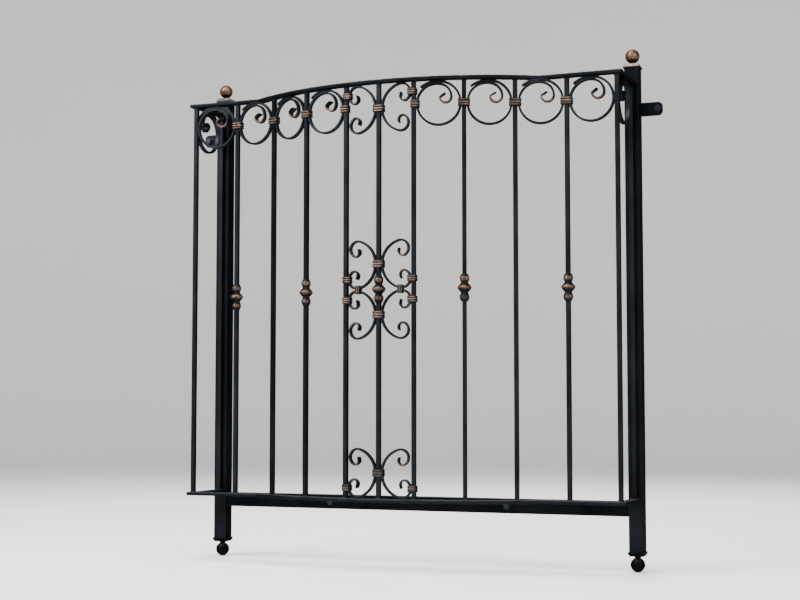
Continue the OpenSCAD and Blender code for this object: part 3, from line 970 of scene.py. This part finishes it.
def lug_plate(shape, place, size, hole_out, hole_radius, edge):
    """Drilled lug in a place's across-up plane: square at its post, round at its outer corners."""
    thickness = size.y
    half = size.z / 2
    bend = size.z / 3
    slant = sqrt(0.5)
    corners = [
        [(0.0, -half, -slant, -slant)],
        corner_arc(size.x - bend, bend - half, bend, 270, 8),
        corner_arc(size.x - bend, half - bend, bend, 0, 8),
        [(0.0, half, -slant, slant)],
    ]
    # section from the hole over the front, round the outer edge and back: distance out, depth, worn
    front = [(0.0, edge, 0.0), (edge, 0.0, 0.3), (edge * 4, 0.0, 0.0)]
    around = [
        (-edge * 4, 0.0, 0.0),
        (-edge, 0.0, 0.7),
        (-edge * 0.3, edge * 0.3, 1.0),
        (0.0, edge, 0.7),
        (0.0, thickness - edge, 0.3),
        (-edge, thickness, 0.0),
        (-edge * 4, thickness, 0.0),
    ]
    back = [(edge * 4, thickness, 0.0), (edge, thickness, 0.0), (0.0, thickness - edge, 0.0)]
    rows = []
    for rim in join_corners(corners, 7):
        spoke = Vector((rim[0] - hole_out, rim[1])).normalized()
        hole = (hole_out + spoke.x * hole_radius, spoke.y * hole_radius, *spoke)
        row = []
        for (x, z, nx, nz), section in ((hole, front), (rim, around), (hole, back)):
            for out, depth, worn in section:
                row.append((place.point(x + nx * out, depth, z + nz * out), 0.0, worn))
        rows.append(row)
    shape.skin(rows, ring=True)


def hexagon_bolt(shape, place):
    """Washer and bolt head standing on a place's across-deep plane, with no shank below."""
    hole = 0.0040
    rim = washer_diameter / 2
    washer = [
        (hole, 0.0),
        (rim - 0.0003, 0.0),
        (rim, 0.0004),
        (rim, washer_thickness - 0.0004),
        (rim - 0.0004, washer_thickness),
        (hole, washer_thickness),
    ]
    turn_profile(shape, place, [(radius, height, 0.0) for radius, height in washer], 40)
    corner = bolt_flats / sqrt(3)
    sixth = pi / 3
    # heights up the head, and how far its chamfer lets the corners reach there
    head = ((0.0016, 1.0), (0.0066, 1.0), (0.0074, 0.93), (0.0080, 0.83), (bolt_head, 0.3))
    rows = []
    for height, limit in head:
        row = []
        for k in range(36):
            angle = 2 * pi * k / 36
            radius = min(bolt_flats / 2 / cos(angle % sixth - sixth / 2), corner * limit)
            # the whole head is marked 0.6 worn so its paint reads paler: edge wear and a painted highlight
            # together
            row.append((place.point(radius * cos(angle), radius * sin(angle), height), 0.0, 0.6))
        rows.append(row)
    shape.skin(rows)


def weld_bead(shape, place, half, size, seed):
    """Rippled fillet round the foot of a square bar that stands on a place."""
    under = 0.001
    section = ((0.78, 0.36), (0.4, 0.75), (0.0, 1.0))
    rows = []
    for i, (x, y, nx, ny) in enumerate(rounded_loop(half, half, 0.0012, 3, 7)):
        uneven = noise.noise(Vector((i * 0.9, seed * 3.1, 0.5)))
        leg = size * (1 + 0.22 * sin(i * 2.1 + seed) + 0.25 * uneven)
        spots = [(-under, 0.0), (leg, 0.0), *((leg * out, leg * up) for out, up in section), (-under, leg)]
        rows.append([(place.point(x + nx * out, y + ny * out, up), 0.0, 0.2) for out, up in spots])
    shape.skin(rows, ring=True)


# Settings


as_colour = {"subtype": "COLOR", "size": 3, "min": 0.0, "max": 1.0}
as_share = {"subtype": "FACTOR", "min": 0.0, "max": 1.0}
as_power = {"unit": "POWER", "min": 0.0}


class GuardPaint(bpy.types.PropertyGroup):
    """Colours and wear of the guard's finishes."""

    black: FloatVectorProperty(
        name="Black", description="Satin black paint of the iron",
        default=(0.0095, 0.0108, 0.0130), **as_colour,
    )
    copper: FloatVectorProperty(
        name="Copper", description="Copper rubbed over the paint",
        default=(0.20, 0.125, 0.088), **as_colour,
    )
    copper_deep: FloatVectorProperty(
        name="Deep copper", description="Copper where it is thin",
        default=(0.07, 0.044, 0.032), **as_colour,
    )
    copper_light: FloatVectorProperty(
        name="Light copper", description="Copper on the highest spots",
        default=(0.42, 0.31, 0.24), **as_colour,
    )
    # pale bluish grey, so the dust on upward faces also serves as a painted reflection of the sky
    dust_and_sky_sheen: FloatVectorProperty(
        name="Dust", description="Dust that lies on upper faces",
        default=(0.12, 0.125, 0.135), **as_colour,
    )
    dust_and_sky_sheen_amount: FloatProperty(
        name="Dust amount", description="How much of the dust shows",
        default=0.3, **as_share,
    )
    bare_edge: FloatVectorProperty(
        name="Thin edge", description="Colour of the paint where it is worn thin at an edge",
        default=(0.030, 0.031, 0.034), **as_colour,
    )
    edge_wear: FloatProperty(
        name="Edge wear", description="How much of the worn edges shows",
        default=0.35, **as_share,
    )
    gleam: FloatProperty(
        name="Gleam", description="How much of the paint's tone is reflection",
        default=0.9, **as_share,
    )
    slant: FloatVectorProperty(
        name="Slant", description="Colour that the gleam takes on where a face is seen at a slant",
        default=(0.06, 0.06, 0.06), **as_colour,
    )


class GuardForge(bpy.types.PropertyGroup):
    """Sizes of the smith's marks."""

    hammer_pitch: FloatProperty(
        name="Hammer pitch", description="Distance from one scoop on a rail's edge to the next",
        unit="LENGTH", min=0.01, max=0.04, default=0.0175,
    )
    hammer_depth: FloatProperty(
        name="Hammer depth", description="Depth of the scoops on a rail's edge",
        unit="LENGTH", min=0.0, max=0.003, default=0.0019,
    )
    hammer_marks: FloatProperty(
        name="Hammer marks", description="Depth of the shallow marks on a bent bar",
        unit="LENGTH", min=0.0, max=0.001, default=0.0003,
    )
    edge_round: FloatProperty(
        name="Edge rounding", description="Radius along the edges of a bent bar",
        unit="LENGTH", min=0.0002, max=0.002, default=0.001,
    )
    bend_step: FloatProperty(
        name="Bend step", description="Length of bar from one row of points to the next",
        unit="LENGTH", min=0.001, max=0.01, default=0.0024,
    )
    soft_edge: FloatProperty(
        name="Soft edge", description="Width of the bars' and lugs' softened edges, a third of the tubes'",
        unit="LENGTH", min=0.0002, max=0.003, default=0.0005,
    )


class GuardStage(bpy.types.PropertyGroup):
    """Camera, lights and floor."""

    camera_place: FloatVectorProperty(
        name="Camera place", description="Where the camera stands",
        subtype="TRANSLATION", size=3, default=(1.61557, -4.17361, 0.27793),
    )
    camera_yaw: FloatProperty(
        name="Camera yaw", description="Turn of the camera away from straight on",
        subtype="ANGLE", default=0.3833,
    )
    camera_pitch: FloatProperty(
        name="Camera pitch", description="Tilt of the camera above level",
        subtype="ANGLE", default=0.0702,
    )
    camera_lens: FloatProperty(
        name="Focal length", description="Focal length in millimetres, on a sensor 36 mm wide",
        unit="CAMERA", min=20.0, max=200.0, default=68.74,
    )
    floor: FloatVectorProperty(
        name="Floor", description="Colour of the floor and the wall round it",
        default=(0.86, 0.85, 0.83), **as_colour,
    )
    key_power: FloatProperty(
        name="Key light", description="Power of the light at the upper left",
        default=330.0, **as_power,
    )
    fill_power: FloatProperty(
        name="Fill light", description="Power of the light on the right",
        default=130.0, **as_power,
    )
    back_power: FloatProperty(
        name="Back light", description="Power of the light behind the guard",
        default=180.0, **as_power,
    )
    top_power: FloatProperty(
        name="Top light", description="Power of the broad light overhead",
        default=380.0, **as_power,
    )
    sky: FloatProperty(
        name="Sky", description="Strength of the even light from all round",
        min=0.0, default=0.5,
    )


# Operators


class GUARD_OT_paint_frame(bpy.types.Operator):
    """Paints the posts, the cross tube and the upright bars, and softens their edges"""

    bl_idname = "guard.paint_frame"
    bl_label = "Paint Frame"

    def execute(self, context):
        bar_edge = context.scene.guard_forge.soft_edge
        tube_edge = 3 * bar_edge
        soften_edges("post_left", tube_edge, "tube_paint")
        soften_edges("post_right", tube_edge, "tube_paint")
        # the darker black on the cross tube is painted shade under the bottom rail
        soften_edges("cross_tube", tube_edge, "cross_paint_shaded")
        for node in [*bar_nodes.values(), "end_bar_left", "end_bar_right"]:
            soften_edges(node, bar_edge, "bar_paint")
        return {"FINISHED"}


class GUARD_OT_forge_rails(bpy.types.Operator):
    """Makes the rails and their returns from flat bar with hammered edges"""

    bl_idname = "guard.forge_rails"
    bl_label = "Forge Rails"

    def execute(self, context):
        forge = context.scene.guard_forge
        step = forge.hammer_pitch / 7
        for level in ("top", "bottom"):
            for part in ("rail", "return_left", "return_right"):
                node = f"{level}_{part}"
                places = front_path(step) if part == "rail" else return_path(node, step)
                shape = hammer_rail(node, places, forge)
                make_piece(f"{node}_hammered", shape, "rail_paint", "rail_black", [node])
        return {"FINISHED"}


class GUARD_OT_bend_rings(bpy.types.Operator):
    """Bends the rings under the top rail, on the front and on both sides"""

    bl_idname = "guard.bend_rings"
    bl_label = "Bend Rings"

    def execute(self, context):
        forge = context.scene.guard_forge
        draw = random.Random("rings")
        for side, outward, gaps in (("left", -1, ring_gaps_left), ("right", 1, ring_gaps_right)):
            shape = Shape()
            for gap in gaps:
                place = at_gap(gap, gap_length(gap) / 2, ring_z)
                bend_bar(shape, place, *ring_path(draw), ring_copper, forge)
            node = f"ring_scrolls_{side}"
            make_piece(f"{node}_bent", shape, "scroll_rub", "scroll_brushed", [node])
            # a side ring stands across the guard, its eye towards the front
            node = f"side_ring_{side}"
            place = Place(middle(node), (0, -1, 0), (-outward, 0, 0), (0, 0, 1))
            shape = Shape()
            bend_bar(shape, place, *ring_path(draw), side_ring_copper, forge)
            make_piece(f"{node}_bent", shape, "scroll_rub", "scroll_brushed", [node])
        return {"FINISHED"}


class GUARD_OT_bend_c_scrolls(bpy.types.Operator):
    """Bends the C-scrolls of the middle panel"""

    bl_idname = "guard.bend_c_scrolls"
    bl_label = "Bend C-Scrolls"

    def execute(self, context):
        forge = context.scene.guard_forge
        start, path = c_path()
        levels = {
            "top": [at_gap(0, 0, top_z).upside_down()],
            "middle": [at_gap(0, 0, mid_z), at_gap(0, 0, mid_z).upside_down()],
            "bottom": [at_gap(0, 0, base_z)],
        }
        for level, places in levels.items():
            shape = Shape()
            for place in places:
                bend_bar(shape, place, start, path, c_copper, forge, True)
                bend_bar(shape, place.mirrored(), start, path, c_copper, forge, True)
            node = f"c_scrolls_{level}"
            make_piece(f"{node}_bent", shape, "scroll_rub", "scroll_brushed", [node])
        return {"FINISHED"}


class GUARD_OT_wrap_collars(bpy.types.Operator):
    """Wraps the copper-rubbed collars that tie the scrolls to the bars and to each other"""

    bl_idname = "guard.wrap_collars"
    bl_label = "Wrap Collars"

    def execute(self, context):
        for side, bars in (("left", (-4, -3, -2, -1)), ("right", (1, 2, 3, 4))):
            node = f"ring_collars_{side}"
            make_piece(f"{node}_wrapped", ring_collars(bars, node), "collar_rub", "collar_copper", [node])
        # the bottom collars get less copper (0.72): painted shade for the shadow they sit in
        levels = (("top", top_z, [-1], 1.0), ("middle", mid_z, [-1, 1], 1.0), ("bottom", base_z, [1], 0.72))
        for level, base, signs, rub_and_shade_share in levels:
            shape = Shape()
            node = f"panel_collars_{level}"
            draw = random.Random(node)
            for sign in signs:
                back_collar(shape, base + sign * spine_rise, draw, rub_and_shade_share)
                curl_collars(shape, base + sign * curl_rise, draw, rub_and_shade_share)
            if level == "middle":
                stack_collars(shape, draw)
            make_piece(f"{node}_wrapped", shape, "collar_rub", "collar_copper", [node])
        return {"FINISHED"}


class GUARD_OT_cast_bushes(bpy.types.Operator):
    """Casts the beaded bushes in the middle of five bars"""

    bl_idname = "guard.cast_bushes"
    bl_label = "Cast Bushes"

    def execute(self, context):
        shape = Shape()
        for n in (-4, -2, 0, 2, 4):
            cast_bush(shape, at_bar(n, mid_z))
        make_piece("bar_bushes_cast", shape, "bush_rub", "bush_copper", ["bar_bushes"], 55)
        return {"FINISHED"}


class GUARD_OT_fit_post_ends(bpy.types.Operator):
    """Fits the caps and balls on the posts, and the flanges and balls under them"""

    bl_idname = "guard.fit_post_ends"
    bl_label = "Fit Post Ends"

    def execute(self, context):
        rubbed = (("cap_rub", "cap_copper"), ("ball_rub", "ball_copper"))
        # the feet take a darker black, painted shade under the guard
        black = (("foot_paint_shaded", "foot_black"), ("foot_paint_shaded", "foot_black"))
        for side in ("left", "right"):
            self.fit_end(f"cap_plate_{side}", f"top_ball_{side}", *rubbed, 1.0)
            self.fit_end(f"foot_flange_{side}", f"foot_ball_{side}", *black, 0.0)
        return {"FINISHED"}

    def fit_end(self, cap, ball, cap_look, ball_look, copper):
        """Makes a cap and its ball, each with its finish, upside down where there is no copper."""
        low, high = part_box(cap)
        centre = middle(cap)
        tall = high.z - low.z
        place = turned_place(centre.x, centre.y, low.z if copper else high.z, 0)
        if not copper:
            place = place.upside_down()
        shape = Shape()
        sloped_cap(shape, place, (high.x - low.x) / 2, tall - neck_height, copper)
        make_piece(f"{cap}_formed", shape, *cap_look, [cap])
        place.origin = place.point(0, 0, tall)
        shape = Shape()
        finial_ball(shape, place, span(ball).x, copper)
        make_piece(f"{ball}_turned", shape, *ball_look, [ball])


class GUARD_OT_fix_to_wall(bpy.types.Operator):
    """Makes the wall lugs and puts the bolts in them and in the cross tube"""

    bl_idname = "guard.fix_to_wall"
    bl_label = "Fix to Wall"

    def execute(self, context):
        edge = context.scene.guard_forge.soft_edge
        for side, sign in (("left", -1), ("right", 1)):
            self.drill_lug(f"wall_lug_{side}", sign, edge)
            self.fit_bolt(f"lug_bolt_{side}", "lug_bolts", "wall_lug_right", sign, "lug_black")
            self.fit_bolt(f"tube_bolt_{side}", "tube_bolts", "cross_tube", sign, "tube_black")
        return {"FINISHED"}

    def drill_lug(self, node, sign, edge):
        """Lug beside a post, its hole where the bolts' mount has it."""
        low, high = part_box(node)
        bolts = mounts["lug_bolts"]["dims"]
        post_x = low.x if sign > 0 else high.x
        hole_out = bolts["spacing_x_mm"] / 2000 - abs(post_x)
        place = Place((post_x, low.y, (low.z + high.z) / 2), (sign, 0, 0), (0, 1, 0), (0, 0, 1))
        shape = Shape()
        lug_plate(shape, place, span(node), hole_out, bolts["hole_r_mm"] / 1000, edge)
        make_piece(f"{node}_drilled", shape, "lug_paint", "lug_black", [node], 50)

    def fit_bolt(self, name, mount_name, seat, sign, slot):
        """Bolt of a mount's pattern on one side, its washer on the front face of its seat."""
        mount = mounts[mount_name]
        x = sign * mount["dims"]["spacing_x_mm"] / 2000
        place = Place((x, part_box(seat)[0].y, mount["pos_m"][2]), (1, 0, 0), (0, 0, 1), (0, -1, 0))
        shape = Shape()
        hexagon_bolt(shape, place)
        make_piece(name, shape, "bolt_paint_highlit", slot, (), 25)


class GUARD_OT_weld_joints(bpy.types.Operator):
    """Runs small weld beads round both ends of the bars that stand between the front rails"""

    bl_idname = "guard.weld_joints"
    bl_label = "Weld Joints"

    def execute(self, context):
        shape = Shape()
        seed = 0
        for n in bar_nodes:
            for place in (at_bar(n, base_z), at_bar(n, top_z).upside_down()):
                seed += 1
                weld_bead(shape, place, bar_side / 2, weld_size, seed)
        make_piece("bar_welds", shape, "weld_paint", "bar_black", (), 60)
        return {"FINISHED"}


class GUARD_OT_set_stage(bpy.types.Operator):
    """Lays the floor and sets the lights and the camera"""

    bl_idname = "guard.set_stage"
    bl_label = "Set Stage"

    def execute(self, context):
        stage = context.scene.guard_stage
        self.lay_floor(stage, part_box("foot_ball_right")[0].z)
        self.hang_light("key_light", (-2.6, -3.4, 3.3), 2.6, stage.key_power)
        self.hang_light("fill_light", (3.6, -2.2, 2.2), 2.4, stage.fill_power)
        self.hang_light("back_light", (-0.6, 3.2, 3.4), 2.4, stage.back_power)
        self.hang_light("top_light", (-0.3, -1.6, 4.6), 3.6, stage.top_power)
        world = bpy.data.worlds.new("even_sky")
        world.use_nodes = True
        sky = world.node_tree.nodes["Background"]
        sky.inputs["Color"].default_value = (0.90, 0.95, 1.0, 1.0)
        sky.inputs["Strength"].default_value = stage.sky
        context.scene.world = world
        data = bpy.data.cameras.new("photo_camera")
        data.sensor_width = 36.0
        data.lens = stage.camera_lens
        camera = bpy.data.objects.new("photo_camera", data)
        camera.location = stage.camera_place
        camera.rotation_euler = (pi / 2 + stage.camera_pitch, 0.0, stage.camera_yaw)
        context.scene.collection.objects.link(camera)
        context.scene.camera = camera
        return {"FINISHED"}

    def lay_floor(self, stage, floor_z):
        """Round floor that turns up into a wall, with the guard and the camera well inside it."""
        flat = 8.0
        bend = 2.5
        wall = 3.0
        sides = 96
        profile = [(0.5, 0.0), (2.0, 0.0), (5.0, 0.0), (flat, 0.0)]
        for k in range(1, 13):
            angle = pi / 2 * k / 12
            profile.append((flat + bend * sin(angle), bend * (1 - cos(angle))))
        profile.append((flat + bend, bend + wall))
        points = [(0.0, 0.0, floor_z)]
        for radius, height in profile:
            points += [(radius * x, radius * y, floor_z + height) for x, y in circle(sides)]
        faces = [(0, 1 + k, 1 + (k + 1) % sides) for k in range(sides)]
        for row in range(len(profile) - 1):
            here = 1 + row * sides
            for k in range(sides):
                j = (k + 1) % sides
                faces.append((here + k, here + sides + k, here + sides + j, here + j))
        mesh = bpy.data.meshes.new("studio_floor")
        mesh.from_pydata(points, [], faces)
        mesh.shade_smooth()
        mesh.materials.append(plain_wall("studio_floor", stage.floor))
        floor = bpy.data.objects.new("studio_floor", mesh)
        bpy.context.scene.collection.objects.link(floor)

    def hang_light(self, name, place, size, power):
        """Round soft light that faces the middle of the guard."""
        aim = Vector((0.0, -0.1, 0.5))
        data = bpy.data.lights.new(name, "AREA")
        data.shape = "DISK"
        data.size = size
        data.energy = power
        light = bpy.data.objects.new(name, data)
        light.location = place
        light.rotation_euler = (aim - Vector(place)).to_track_quat("-Z", "Y").to_euler()
        bpy.context.scene.collection.objects.link(light)


class GUARD_PT_pieces(bpy.types.Panel):
    """Lists what dresses the guard"""

    bl_idname = "GUARD_PT_pieces"
    bl_label = "Balcony Guard"
    bl_space_type = "VIEW_3D"
    bl_region_type = "UI"
    bl_category = "Guard"

    def draw(self, context):
        layout = self.layout
        for operator in operators:
            layout.operator(operator.bl_idname)
        for group in (context.scene.guard_paint, context.scene.guard_forge, context.scene.guard_stage):
            box = layout.box()
            for key in group.__annotations__:
                box.prop(group, key)


operators = (
    GUARD_OT_paint_frame,
    GUARD_OT_forge_rails,
    GUARD_OT_bend_rings,
    GUARD_OT_bend_c_scrolls,
    GUARD_OT_wrap_collars,
    GUARD_OT_cast_bushes,
    GUARD_OT_fit_post_ends,
    GUARD_OT_fix_to_wall,
    GUARD_OT_weld_joints,
    GUARD_OT_set_stage,
)
classes = (GuardPaint, GuardForge, GuardStage, *operators, GUARD_PT_pieces)


def register():
    for each in classes:
        bpy.utils.register_class(each)
    bpy.types.Scene.guard_paint = PointerProperty(type=GuardPaint)
    bpy.types.Scene.guard_forge = PointerProperty(type=GuardForge)
    bpy.types.Scene.guard_stage = PointerProperty(type=GuardStage)


def unregister():
    del bpy.types.Scene.guard_stage
    del bpy.types.Scene.guard_forge
    del bpy.types.Scene.guard_paint
    for each in reversed(classes):
        bpy.utils.unregister_class(each)


def main():
    register()
    bpy.ops.guard.paint_frame()
    bpy.ops.guard.forge_rails()
    bpy.ops.guard.bend_rings()
    bpy.ops.guard.bend_c_scrolls()
    bpy.ops.guard.wrap_collars()
    bpy.ops.guard.cast_bushes()
    bpy.ops.guard.fit_post_ends()
    bpy.ops.guard.fix_to_wall()
    bpy.ops.guard.weld_joints()
    bpy.ops.guard.set_stage()


if __name__ == "__main__":
    main()
